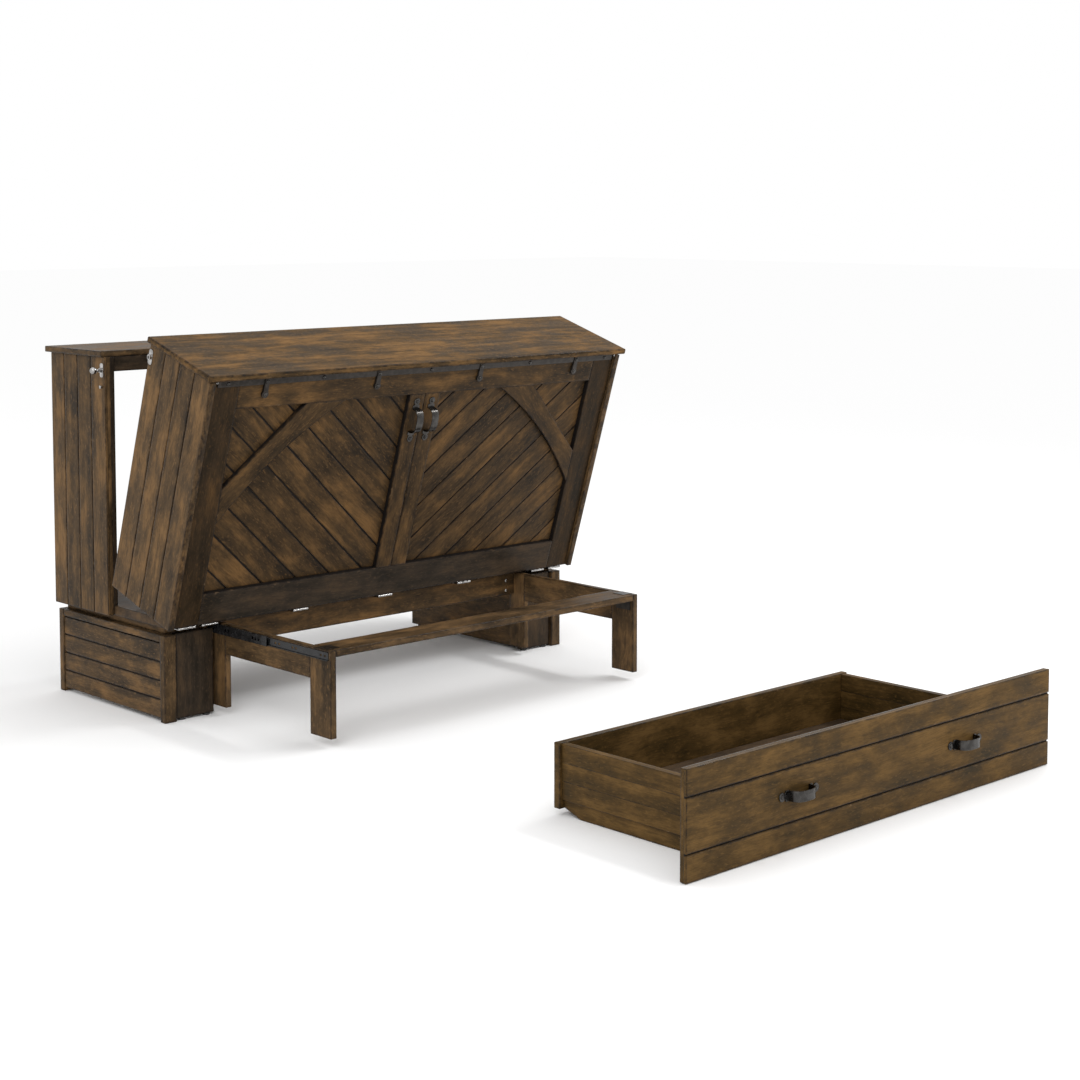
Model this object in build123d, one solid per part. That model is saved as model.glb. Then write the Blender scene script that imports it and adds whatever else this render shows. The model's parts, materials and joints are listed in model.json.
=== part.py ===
from build123d import *
import math
import os

# Murphy cabinet bed, part-way through opening.  X runs across the bed, Y to the wall, Z up.
# Everything is laid out from the base cabinet's front face (Y = 0) and the floor (Z = 0);
# save() moves the whole assembly so that its origin is the bottom centre of its box.

# ---- driving dimensions (mm) ----
BASE_W = 1594                 # base cabinet, outside the corner posts
BASE_D = 592
BASE_H = 258
OPENING_W = 1244              # clear width between the front cheeks
BOARD = 20                    # general board thickness
UPPER_W = 1620                # outside the cabinet and box sides
TOP_W = 1644                  # lid and rear top
MATTRESS_W = 1524             # the queen mattress that the box has to take

DECK_Z = 278                  # underside of the fixed deck
REAR_FRONT_Y = 281            # front edge of the rear cabinet
PIVOT_Y = -31                 # box hinge axis, along the face's bottom edge
PIVOT_Z = 279.5
TILT = 17.5                   # how far the box is tipped forward as modelled

FACE_BOTTOM = 4               # heights on the face are measured from the hinge axis
FACE_TOP = 778
LID_GAP = 1
BOX_D = 305
FACE_T = 30                   # framing and plywood of the tipping face together
DECK_T = 30                   # the deck comes level with the face's back when the bed is open
STRIP_PROUD = 10              # the sides stand proud of the face
LID_OVERHANG = 21
LID_T = 18
LID_BACK = 310

FRAME_W = 1224                # pull-out support frame
FRAME_TOP = 275
FRAME_FLOOR_GAP = 25          # the legs hang just clear of the floor on their slides
FRAME_FRONT_Y = -549

DRAWER_FRONT_Y = -2005        # the drawer stands on the floor in front of the bed
DRAWER_X = -20                # it is free on the floor, and stands a little off centre
DRAWER_W = 1440
DRAWER_Z0 = 1                 # floor gap under the drawer front
DRAWER_H = 262
DRAWER_BOX_W = 1118
DRAWER_DEPTH = 585
PULL_PROUD = 34

REAR_TOP_BACK_Y = 606
Y_SHIFT = -(DRAWER_FRONT_Y - PULL_PROUD + REAR_TOP_BACK_Y) / 2

# ---- derived sizes ----
UPPER_X = UPPER_W / 2
FACE_X = UPPER_X - BOARD - 0.5
REAR_TOP_Z = PIVOT_Z + FACE_TOP + LID_GAP + LID_T
HINGE_R = 3.5
PIN_R = 2.0
RUNNING_FIT = 0.05
HINGE_X = [-738, -660, -330, 0, 330, 660, 738]
HINGE_LEN = 56
LEAF_T = 2

os.makedirs("parts", exist_ok=True)


def box(x0, x1, y0, y1, z0, z1):
    """A board given by its two faces along each axis."""
    size = (abs(x1 - x0), abs(y1 - y0), abs(z1 - z0))
    return Pos((x0 + x1) / 2, (y0 + y1) / 2, (z0 + z1) / 2) * Box(*size)


def eased(board, radius=2):
    """The same board with its sharp edges eased, as sanded boards have."""
    return fillet(board.edges(), radius)


def mirrored(solid):
    """The solid and its mirror image about the bed's centre line."""
    return [solid, mirror(solid, Plane.YZ)]


def rod_x(x0, x1, y, z, radius):
    """A round bar along X."""
    return Pos((x0 + x1) / 2, y, z) * Rot(0, 90, 0) * Cylinder(radius, x1 - x0)


def stud_y(x, y0, y1, z, radius):
    """A round bar along Y, such as a bolt head on a front face."""
    return Pos(x, (y0 + y1) / 2, z) * Rot(90, 0, 0) * Cylinder(radius, abs(y1 - y0))


def tipped(solid):
    """Box pieces are drawn upright from the hinge axis, then tipped about it."""
    return Pos(0, PIVOT_Y, PIVOT_Z) * Rot(TILT, 0, 0) * solid


def off_centre(solid):
    """Drawer pieces are drawn about the bed's centre line, then moved with the drawer."""
    return Pos(DRAWER_X, 0, 0) * solid


def save(name, solids, place=None):
    """Write one node: its solids, placed and shifted to the assembly's origin."""
    placed = [place(s) if place else s for s in solids]
    moved = [Pos(0, Y_SHIFT, 0) * s for s in placed]
    node = moved[0] if len(moved) == 1 else Compound(children=moved)
    node.label = name
    export_step(node, f"parts/{name}.step")


# ---- fixed base cabinet ----
POST_W = 40
POST_D = 25
GROOVE_W = 3
GROOVE_D = 3
CHEEK_IN = OPENING_W / 2
CHEEK_OUT = BASE_W / 2 - POST_W - 5
CHEEK_Y = 8
WALL_X = FRAME_W / 2 + 12.7
SIDE_SKIN = 18


def base_posts():
    x1 = BASE_W / 2
    front = eased(box(x1 - POST_W, x1, 0, POST_D, 0, BASE_H), 1.5)
    rear = eased(box(x1 - POST_W, x1, BASE_D - POST_D, BASE_D, 0, BASE_H), 1.5)
    return mirrored(front) + mirrored(rear)


def base_side():
    """Right-hand side: a top rail over a panel with three long grooves."""
    x1 = BASE_W / 2
    y0, y1 = POST_D + 0.5, BASE_D - POST_D - 0.5
    rail = eased(box(x1 - POST_W, x1 - 1, y0, y1, BASE_H - 21, BASE_H), 1.5)
    panel_top, panel_bottom = BASE_H - 25, 12
    panel = box(x1 - 3 - SIDE_SKIN, x1 - 3, y0, y1, panel_bottom, panel_top)
    pitch = (panel_top - panel_bottom) / 4 + 1
    for i in range(1, 4):
        z = panel_top - i * pitch
        panel -= box(x1 - 3 - GROOVE_D, x1, y0 - 1, y1 + 1, z, z + GROOVE_W)
    tongue = box(x1 - 3 - SIDE_SKIN, x1 - 3 - 10, y0, y1, panel_top, BASE_H - 21)
    return [rail, panel + tongue]


def base_cheeks():
    cheek = box(CHEEK_IN, CHEEK_OUT, CHEEK_Y, CHEEK_Y + BOARD, 6, BASE_H)
    return mirrored(eased(cheek))


def base_plinths():
    """Recessed strips that lift the deck clear of the base, a side pair and a rear pair."""
    side = box(700, BASE_W / 2 - 22, 30, BASE_D - 14, BASE_H, DECK_Z)
    return mirrored(side)


def slide_walls():
    """Upright boards either side of the opening, which carry the slides and the deck."""
    wall = box(WALL_X, WALL_X + 18, CHEEK_Y + BOARD, BASE_D - 4, 10, DECK_Z)
    return mirrored(wall)


def bed_deck():
    deck_x = UPPER_X - BOARD - 3
    front = box(-deck_x, deck_x, PIVOT_Y + FACE_T + 3, REAR_FRONT_Y + 6, DECK_Z, DECK_Z + DECK_T)
    rear = box(-deck_x, deck_x, REAR_FRONT_Y + 6, BASE_D - 3, DECK_Z, DECK_Z + DECK_T)
    return [front + rear]


def base_glides():
    foot = Pos(CHEEK_IN + 22, CHEEK_Y + 10, 3) * Cylinder(11, 6)
    outer = Pos(CHEEK_OUT - 22, CHEEK_Y + 10, 3) * Cylinder(11, 6)
    rear = Pos(WALL_X + 9, BASE_D - 40, 5) * Cylinder(8.5, 10)
    return mirrored(foot) + mirrored(outer) + mirrored(rear)


# ---- fixed rear cabinet ----
REAR_SIDE_TOP = REAR_TOP_Z - LID_T
PLANK_PITCH = 77


def rear_side():
    """Right-hand side panel with three upright grooves on its outer face."""
    panel = box(UPPER_X - BOARD, UPPER_X, REAR_FRONT_Y, BASE_D - 3, DECK_Z + 2, REAR_SIDE_TOP)
    for i in range(1, 4):
        y = REAR_FRONT_Y + i * PLANK_PITCH
        groove = box(UPPER_X - GROOVE_D, UPPER_X + 1, y, y + GROOVE_W, 0, REAR_SIDE_TOP + 1)
        panel -= groove
    return panel


def rear_stiles():
    """Inner stiles that thicken the open front edges of the rear cabinet."""
    x1 = UPPER_X - BOARD
    stile = box(x1 - 14, x1, REAR_FRONT_Y, REAR_FRONT_Y + 40, DECK_Z + DECK_T, REAR_SIDE_TOP)
    return mirrored(stile)


def rear_top():
    top = box(-TOP_W / 2, TOP_W / 2, REAR_FRONT_Y - 1, REAR_TOP_BACK_Y, REAR_SIDE_TOP, REAR_TOP_Z)
    return [eased(top, 2.5)]


def rear_rails():
    """A cross rail under the top near the front, and one along the back."""
    x1 = UPPER_X - BOARD - 14
    front = box(-x1, x1, REAR_FRONT_Y + 2, REAR_FRONT_Y + 20, REAR_SIDE_TOP - 45, REAR_SIDE_TOP)
    x2 = UPPER_X - BOARD
    back = box(-x2, x2, BASE_D - 23, BASE_D - 5, REAR_SIDE_TOP - 70, REAR_SIDE_TOP)
    return [front, back]


# ---- ball-bearing slides: outer fixed, middle, inner on the frame ----
SLIDE_Z0 = 242
SLIDE_Z1 = 274.5
SLIDE_LEN = 560


def channel(web_x, lip_x, y0, y1, z0, z1, wall=1.4):
    """A C-shaped steel member: an upright web at web_x with its lips reaching to lip_x."""
    sign = 1 if lip_x > web_x else -1
    web = box(web_x, web_x + sign * wall, y0, y1, z0, z1)
    lower = box(web_x, lip_x, y0, y1, z0, z0 + wall)
    upper = box(web_x, lip_x, y0, y1, z1 - wall, z1)
    return web + lower + upper


def screw_slots(x, y_list, z, length=9, width=5):
    """Slots through a slide member's web, cut along Y."""
    cut = None
    for y in y_list:
        slot = box(x - 4, x + 4, y - length / 2, y + length / 2, z - width / 2, z + width / 2)
        cut = slot if cut is None else cut + slot
    return cut


def slide_outer():
    member = channel(WALL_X, WALL_X - 9.4, 30, 30 + SLIDE_LEN - 12, SLIDE_Z0, SLIDE_Z1)
    member -= screw_slots(WALL_X, [60, 220, 380, 540], (SLIDE_Z0 + SLIDE_Z1) / 2)
    return mirrored(member)


def slide_middle():
    """Half of the way out; its front end carries the bumper that meets the inner member."""
    x = FRAME_W / 2 + 8.6
    y0 = FRAME_FRONT_Y + 290
    z0, z1 = SLIDE_Z0 + 2.0, SLIDE_Z1 - 2.0
    member = channel(x, x - 5.6, y0, y0 + SLIDE_LEN - 10, z0, z1)
    middle_z = (z0 + z1) / 2
    member -= screw_slots(x, [y0 + 40, y0 + 54, y0 + 68, y0 + 190, y0 + 206], middle_z, 8, 9)
    return mirrored(member)


def slide_inner():
    x = FRAME_W / 2
    z0, z1 = SLIDE_Z0 + 4.2, SLIDE_Z1 - 4.2
    y0 = FRAME_FRONT_Y + 8
    member = channel(x, x + 6.0, y0, y0 + SLIDE_LEN, z0, z1)
    middle_z = (z0 + z1) / 2
    slots = [y0 + 16, y0 + 34, y0 + 150, y0 + 166, y0 + 230, y0 + 248]
    member -= screw_slots(x, slots, middle_z, 9, 6)
    return mirrored(member)


# ---- pull-out support frame ----
LEG_T = 20
FRONT_LEG_W = 95
REAR_LEG_W = 72
APRON_H = 91
FRONT_BOARD_D = 103


def frame_front_legs():
    x1 = FRAME_W / 2
    leg = box(x1 - LEG_T, x1, FRAME_FRONT_Y, FRAME_FRONT_Y + FRONT_LEG_W, FRAME_FLOOR_GAP, FRAME_TOP)
    return mirrored(eased(leg, 1.5))


def frame_rear_legs():
    x1 = FRAME_W / 2
    rear_y = FRAME_FRONT_Y + 581
    leg = box(x1 - LEG_T, x1, rear_y - REAR_LEG_W, rear_y, FRAME_FLOOR_GAP - 2, FRAME_TOP)
    return mirrored(eased(leg, 1.5))


def frame_aprons():
    """Side rails between the front and rear legs."""
    x1 = FRAME_W / 2
    y0 = FRAME_FRONT_Y + FRONT_LEG_W
    y1 = FRAME_FRONT_Y + 581 - REAR_LEG_W
    return mirrored(box(x1 - LEG_T, x1, y0, y1, FRAME_TOP - APRON_H, FRAME_TOP))


def frame_rear_rail():
    x1 = FRAME_W / 2 - LEG_T
    y0 = FRAME_FRONT_Y + 559
    return [box(-x1, x1, y0, y0 + BOARD, FRAME_TOP - 73, FRAME_TOP)]


def frame_front_board():
    x1 = FRAME_W / 2 - LEG_T
    board = box(-x1, x1, FRAME_FRONT_Y, FRAME_FRONT_Y + FRONT_BOARD_D, FRAME_TOP - BOARD, FRAME_TOP)
    return [eased(board)]


def frame_corner_brackets():
    """Black angle brackets screwed under the front board and against each front leg."""
    x1 = FRAME_W / 2 - LEG_T
    z1 = FRAME_TOP - BOARD
    y0, y1 = FRAME_FRONT_Y + 12, FRAME_FRONT_Y + 72
    angle = box(x1 - 34, x1, y0, y1, z1 - 3, z1) + box(x1 - 3, x1, y0, y1, z1 - 30, z1)
    plate = box(x1 - 26, x1 + 14, y0 + 6, y1 - 8, FRAME_TOP, FRAME_TOP + 1.5)
    return mirrored(angle) + mirrored(plate)


def frame_rail_bolts():
    """Capped bolts near both ends of the rear rail."""
    y0 = FRAME_FRONT_Y + 559
    bolts = []
    for z in (FRAME_TOP - 24, FRAME_TOP - 57):
        bolts += mirrored(stud_y(FRAME_W / 2 - LEG_T - 36, y0 - 2.5, y0, z, 5.5))
    return bolts


# ---- tilting front box, drawn upright from its hinge axis ----
STILE_W = 88
TOP_RAIL_Z = 685
BOTTOM_RAIL_Z = 103
STILE_T = 19                  # framing thickness in front of the plywood
PANEL_T = 4                   # planks, let in 15 behind the framing's front
CENTRE_W = 60
DOOR_GAP = 2
PLANK_SLOPE = 0.886           # fall of the plank joints per unit across
PLANK_STEP = 111.5            # upright spacing of the plank joints
PLANK_START = 8


def box_side():
    """Right-hand side of the box, with three grooves and its front edge proud of the face."""
    side = box(UPPER_X - BOARD, UPPER_X, -STRIP_PROUD, BOX_D, FACE_BOTTOM, FACE_TOP)
    side -= box(UPPER_X - BOARD - 1, UPPER_X + 1, -STRIP_PROUD - 1, 0, FACE_TOP - 5, FACE_TOP + 1)
    for i in range(1, 4):
        y = BOX_D - i * PLANK_PITCH
        side -= box(UPPER_X - GROOVE_D, UPPER_X + 1, y - GROOVE_W, y, 0, FACE_TOP + 1)
    return side


def face_backing():
    """Plywood behind the whole face; the mattress lies on it when the bed is open."""
    return [box(-FACE_X, FACE_X, STILE_T, FACE_T, FACE_BOTTOM, FACE_TOP)]


def face_stiles():
    return mirrored(box(FACE_X - STILE_W, FACE_X, 0, STILE_T, FACE_BOTTOM, FACE_TOP))


def face_top_rail():
    x1 = FACE_X - STILE_W
    return [box(-x1, x1, 0, STILE_T, TOP_RAIL_Z, FACE_TOP)]


def face_bottom_rail():
    x1 = FACE_X - STILE_W
    return [box(-x1, x1, 0, STILE_T, FACE_BOTTOM, BOTTOM_RAIL_Z)]


def centre_stiles():
    return mirrored(box(DOOR_GAP / 2, CENTRE_W, 0, STILE_T, BOTTOM_RAIL_Z, TOP_RAIL_Z))


def brace_outline():
    """Right-hand brace: straight on its outer edge, hollowed by an arc on its inner edge."""
    x1 = FACE_X - STILE_W
    outer_run = 250
    inner_x, inner_z = x1 - 392, TOP_RAIL_Z - 360
    mid_x, mid_z = x1 - 196 + 2, TOP_RAIL_Z - 180 + 36
    edges = [
        Edge.make_line((x1 - outer_run, 0, TOP_RAIL_Z), (x1, 0, TOP_RAIL_Z - outer_run)),
        Edge.make_line((x1, 0, TOP_RAIL_Z - outer_run), (x1, 0, inner_z)),
        Edge.make_three_point_arc((x1, 0, inner_z), (mid_x, 0, mid_z), (inner_x, 0, TOP_RAIL_Z)),
        Edge.make_line((inner_x, 0, TOP_RAIL_Z), (x1 - outer_run, 0, TOP_RAIL_Z)),
    ]
    return Face(Wire(edges))


def along_y(face, y0, y1):
    """Extrude an upright face that lies in the plane Y = 0 from y0 to y1."""
    solid = extrude(face, amount=y1 - y0, dir=(0, 1, 0))
    return Pos(0, y0, 0) * solid


def face_braces():
    return mirrored(along_y(brace_outline(), 0, STILE_T))


def chevron_panel():
    """Right-hand plank panel, cut by sloping joints, let in behind the brace."""
    x0, x1 = CENTRE_W, FACE_X - STILE_W
    panel = box(x0, x1, STILE_T - PANEL_T, STILE_T, BOTTOM_RAIL_Z, TOP_RAIL_Z)
    panel -= along_y(brace_outline(), 0, STILE_T + 1)
    angle = math.degrees(math.atan(PLANK_SLOPE))
    span = 1400
    for i in range(-6, 9):
        rise = PLANK_START + i * PLANK_STEP
        groove = Box(span, 2 * 2.5, GROOVE_W)
        place = Pos(0, STILE_T - PANEL_T, rise) * Rot(0, -angle, 0)
        panel -= place * groove
    return [s for s in panel.solids()]


def box_piece_bolts():
    heads = []
    for x in (-745, -410, 0, 410, 745):
        heads.append(stud_y(x, -RAIL_T - 4, -RAIL_T, RAIL_Z, 6))
    return heads


RAIL_T = 5
RAIL_H = 20
RAIL_Z = 766
HANGER_DROP = 40
HANGER_X = [-613, -204, 204, 613]
HANGER_W = 22


def barn_rail():
    x1 = FACE_X - 10
    return [box(-x1, x1, -RAIL_T, 0, RAIL_Z - RAIL_H / 2, RAIL_Z + RAIL_H / 2)]


def rail_hangers():
    """Flat straps hung over the rail, each ending in a round pad with a bolt."""
    straps = []
    drop = RAIL_Z - HANGER_DROP
    for x in HANGER_X:
        over = box(x - HANGER_W / 2, x + HANGER_W / 2, -RAIL_T - 3, -RAIL_T, drop, RAIL_Z + 8)
        down = box(x - HANGER_W / 2, x + HANGER_W / 2, -RAIL_T, 0, drop, RAIL_Z - RAIL_H / 2)
        pad = stud_y(x, -RAIL_T - 3, 0, drop, HANGER_W / 2)
        head = stud_y(x, -RAIL_T - 6.5, -RAIL_T - 3, drop, 6)
        upper = stud_y(x, -RAIL_T - 6.5, -RAIL_T - 3, RAIL_Z, 6)
        straps.append(over + down + pad + head + upper)
    return straps


def strap_pull(length, width=26, thick=3, proud=PULL_PROUD):
    """A strap handle along X: feet on the face (Y = 0), a bowed loop standing towards -Y."""
    half, foot, rise = length / 2, 34, 10
    start = half - foot
    shoulder = -proud + rise
    outside = [(half, 0), (half, -thick), (start, -thick), (start - 2, shoulder), (start - rise, -proud)]
    inside = [(start - rise - 1, thick - proud), (start - thick - 2, shoulder + 1), (start - thick, 0)]
    left_of = [(-x, y) for x, y in reversed(outside)]
    left_inside = [(-x, y) for x, y in reversed(inside)]
    points = outside + left_of + left_inside + inside
    outline = Face(Wire.make_polygon([(x, y, 0) for x, y in points]))
    return Pos(0, 0, -width / 2) * extrude(outline, amount=width, dir=(0, 0, 1))


def pull_screw_pair(length):
    half = length / 2 - 11
    return [stud_y(-half, -6, -3, 0, 5.5), stud_y(half, -6, -3, 0, 5.5)]


DOOR_PULL_LEN = 144
DOOR_PULL_Z = 601
DRAWER_PULL_X = 332
DRAWER_PULL_LEN = 144


def door_pulls():
    pull = Pos(CENTRE_W / 2, 0, DOOR_PULL_Z) * Rot(0, 90, 0) * strap_pull(DOOR_PULL_LEN)
    return mirrored(pull)


def door_pull_screws():
    screws = []
    for s in pull_screw_pair(DOOR_PULL_LEN):
        screws += mirrored(Pos(CENTRE_W / 2, 0, DOOR_PULL_Z) * Rot(0, 90, 0) * s)
    return screws


# ---- box hinges along the bottom edge of the face ----
KNUCKLES = 5


def knuckle_span(x, i):
    pitch = HINGE_LEN / KNUCKLES
    x0 = x - HINGE_LEN / 2 + i * pitch
    return x0 + 0.15, x0 + pitch - 0.15


def hinge_fixed_leaves():
    """Leaves screwed under the deck; their knuckles are the outer and middle ones."""
    leaves = []
    for x in HINGE_X:
        z0 = DECK_Z - LEAF_T
        plate = box(x - HINGE_LEN / 2, x + HINGE_LEN / 2, PIVOT_Y + 6, 24, z0, DECK_Z)
        for i in range(0, KNUCKLES, 2):
            a, b = knuckle_span(x, i)
            plate += box(a, b, PIVOT_Y, PIVOT_Y + 7, z0, DECK_Z)
            plate += rod_x(a, b, PIVOT_Y, PIVOT_Z, HINGE_R)
        plate -= rod_x(x - HINGE_LEN, x + HINGE_LEN, PIVOT_Y, PIVOT_Z, PIN_R)
        leaves.append(plate)
    return leaves


def hinge_moving_leaves():
    """Leaves let onto the face's bottom edge, drawn upright from the axis."""
    leaves = []
    z1 = FACE_BOTTOM
    for x in HINGE_X:
        plate = box(x - HINGE_LEN / 2, x + HINGE_LEN / 2, 4.5, BOARD, z1 - LEAF_T, z1)
        for i in range(1, KNUCKLES, 2):
            a, b = knuckle_span(x, i)
            plate += box(a, b, 0, 5, z1 - LEAF_T, z1)
            plate += rod_x(a, b, 0, 0, HINGE_R)
        plate -= rod_x(x - HINGE_LEN, x + HINGE_LEN, 0, 0, PIN_R + RUNNING_FIT)
        leaves.append(plate)
    return leaves


def hinge_pins():
    return [rod_x(x - HINGE_LEN / 2, x + HINGE_LEN / 2, PIVOT_Y, PIVOT_Z, PIN_R) for x in HINGE_X]


# ---- lid, pivoting on two pins at the top front of the box ----
LID_AXIS_Y = -5
LID_AXIS_Z = FACE_TOP + LID_GAP - 8
LID_PIN_R = 2.5
LEAF_AXIS_Y = 306.5
LEAF_AXIS_Z = FACE_TOP + LID_GAP - 3.5
LEAF_TOP = FACE_TOP + LID_GAP - 1.5
LEAF_THICK = 18


def lid_pivot_pins():
    x1 = UPPER_X - BOARD
    return mirrored(rod_x(x1 - 9, x1, LID_AXIS_Y, LID_AXIS_Z, LID_PIN_R))


def lid_board():
    z0 = FACE_TOP + LID_GAP
    lid = box(-TOP_W / 2, TOP_W / 2, -LID_OVERHANG, LID_BACK, z0, z0 + LID_T)
    return [eased(lid, 3)]


def lid_pivot_brackets():
    """Ears under the lid's overhang, rounded below so that they clear the face as they turn."""
    x1 = UPPER_X - BOARD - 4
    z1 = FACE_TOP + LID_GAP
    ear_r = 4.4
    ear = rod_x(x1 - 3, x1, LID_AXIS_Y, LID_AXIS_Z, ear_r)
    ear += box(x1 - 3, x1, LID_AXIS_Y - ear_r, LID_AXIS_Y + 2, LID_AXIS_Z, z1)
    ear += box(x1 - 18, x1, LID_AXIS_Y - 7, LID_AXIS_Y + 2, z1 - 2, z1)
    ear -= rod_x(x1 - 30, x1 + 30, LID_AXIS_Y, LID_AXIS_Z, LID_PIN_R + RUNNING_FIT)
    return mirrored(ear)


FOOT_HINGE_X = [-600, 0, 600]
FOOT_KNUCKLE_R = 3.0
FOOT_PIN_R = 1.6


def foot_hinge_fixed():
    """Leaves under the lid's rear edge, with the pins pressed into their outer knuckles."""
    z1 = FACE_TOP + LID_GAP
    leaves = []
    for x in FOOT_HINGE_X:
        plate = box(x - 30, x + 30, LEAF_AXIS_Y - 20, LEAF_AXIS_Y - 5.3, z1 - 1.2, z1)
        for side in (-1, 1):
            a, b = sorted((x + side * 30, x + side * 12))
            plate += box(a, b, LEAF_AXIS_Y - 6, LEAF_AXIS_Y, z1 - 1.2, z1)
            plate += rod_x(a, b, LEAF_AXIS_Y, LEAF_AXIS_Z, FOOT_KNUCKLE_R)
        plate += rod_x(x - 30, x + 30, LEAF_AXIS_Y, LEAF_AXIS_Z, FOOT_PIN_R)
        leaves.append(plate)
    return leaves


def foot_hinge_moving():
    """Leaves on the foot board's rear edge, with the middle knuckle."""
    y0 = LEAF_AXIS_Y - 5.5
    arm_z0, arm_z1 = LEAF_AXIS_Z - 3.0, LEAF_AXIS_Z - 1.8
    leaves = []
    for x in FOOT_HINGE_X:
        plate = box(x - 30, x + 30, y0, y0 + 1.5, LEAF_TOP - 16, arm_z1)
        plate += box(x - 11.5, x + 11.5, y0, LEAF_AXIS_Y, arm_z0, arm_z1)
        plate += rod_x(x - 11.5, x + 11.5, LEAF_AXIS_Y, LEAF_AXIS_Z, FOOT_KNUCKLE_R)
        plate -= rod_x(x - 40, x + 40, LEAF_AXIS_Y, LEAF_AXIS_Z, FOOT_PIN_R + RUNNING_FIT)
        leaves.append(plate)
    return leaves


def foot_leaf():
    x1 = UPPER_X - BOARD - 6
    y1 = LEAF_AXIS_Y - 5.5
    return [box(-x1, x1, FACE_T + 5, y1, LEAF_TOP - LEAF_THICK, LEAF_TOP)]


# ---- side latches between the rear cabinet and the box ----
LATCH_Z = 1018
LATCH_Y = REAR_FRONT_Y + 14
LATCH_ROD_R = 3.5
LATCH_BALL_R = 11
LATCH_REACH = 29


def latch_plates():
    """Plates with a collar each, in which the plunger slides."""
    plate = box(UPPER_X, UPPER_X + 2, LATCH_Y - 9, LATCH_Y + 9, LATCH_Z - 21, LATCH_Z + 21)
    plate = fillet(plate.edges().filter_by(Axis.X), 6)
    collar = rod_x(UPPER_X + 2, UPPER_X + 9, LATCH_Y, LATCH_Z, 7)
    bore = rod_x(UPPER_X - 1, UPPER_X + 10, LATCH_Y, LATCH_Z, LATCH_ROD_R + RUNNING_FIT)
    return mirrored(plate + collar - bore)


def strike_pins():
    pin = rod_x(UPPER_X, UPPER_X + 5, LATCH_Y, LATCH_Z - 50, 3)
    return mirrored(pin + rod_x(UPPER_X + 5, UPPER_X + 8, LATCH_Y, LATCH_Z - 50, 5))


def latch_plunger():
    """A spring plunger with a ball to grip, pulled outwards to let the box go."""
    ball_x = UPPER_X + LATCH_REACH
    return rod_x(UPPER_X + 0.5, ball_x, LATCH_Y, LATCH_Z, LATCH_ROD_R) + \
        Pos(ball_x, LATCH_Y, LATCH_Z) * Sphere(LATCH_BALL_R)


def latch_keepers():
    """Keeper plates at the rear top of the box sides, each with a cupped boss."""
    y, z = BOX_D - 12, LATCH_Z - PIVOT_Z
    plate = box(UPPER_X, UPPER_X + 2, y - 9, y + 11, z - 23, z + 23)
    plate = fillet(plate.edges().filter_by(Axis.X), 8)
    cup = rod_x(UPPER_X + 2, UPPER_X + 9, y, z, 8) - rod_x(UPPER_X + 4, UPPER_X + 10, y, z, 5)
    return mirrored(plate + cup)


# ---- drawer ----
DRAWER_SIDE_Z0 = 40
DRAWER_SIDE_Z1 = 181
RUNNER_H = 36
DRAWER_BACK_Y = DRAWER_FRONT_Y + DRAWER_DEPTH
DRAWER_IN_Y = DRAWER_FRONT_Y + 19


def drawer_front():
    """Front board with two long grooves, which covers the opening between the posts."""
    x1 = DRAWER_W / 2
    front = eased(box(-x1, x1, DRAWER_FRONT_Y, DRAWER_IN_Y, DRAWER_Z0, DRAWER_H), 1.5)
    for share in (0.25, 0.75):
        z = DRAWER_Z0 + share * (DRAWER_H - DRAWER_Z0)
        front -= box(-x1 - 1, x1 + 1, DRAWER_FRONT_Y - 1, DRAWER_FRONT_Y + 2.5, z - 1.5, z + 1.5)
    return [front]


def drawer_sides():
    x1 = DRAWER_BOX_W / 2
    side = box(x1 - 19, x1, DRAWER_IN_Y, DRAWER_BACK_Y - BOARD, DRAWER_SIDE_Z0, DRAWER_SIDE_Z1)
    return mirrored(side)


def drawer_back():
    x1 = DRAWER_BOX_W / 2 + 8
    return [box(-x1, x1, DRAWER_BACK_Y - BOARD, DRAWER_BACK_Y, 17, DRAWER_SIDE_Z1 + 2)]


def drawer_bottom():
    x1 = DRAWER_BOX_W / 2 - 19
    return [box(-x1, x1, DRAWER_IN_Y, DRAWER_BACK_Y - BOARD, DRAWER_SIDE_Z0 + 4, DRAWER_SIDE_Z0 + 13)]


def drawer_runners():
    """Skids under the drawer sides, cut back at the rear so they ride over a rug."""
    x1 = DRAWER_BOX_W / 2 - 6
    y0, y1 = DRAWER_IN_Y, DRAWER_BACK_Y - BOARD
    z1 = DRAWER_SIDE_Z0
    pts = [(y0, 0), (y1 - 60, 0), (y1, 20), (y1, z1), (y0, z1)]
    outline = Face(Wire.make_polygon([(x1 - 24, y, z) for y, z in pts]))
    return mirrored(extrude(outline, amount=24, dir=(1, 0, 0)))


def drawer_pull_spots():
    return [Pos(side * DRAWER_PULL_X, DRAWER_FRONT_Y, DRAWER_H / 2 + 2) for side in (-1, 1)]


def drawer_pulls():
    return [spot * strap_pull(DRAWER_PULL_LEN) for spot in drawer_pull_spots()]


def drawer_pull_screws():
    return [spot * s for spot in drawer_pull_spots() for s in pull_screw_pair(DRAWER_PULL_LEN)]


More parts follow.
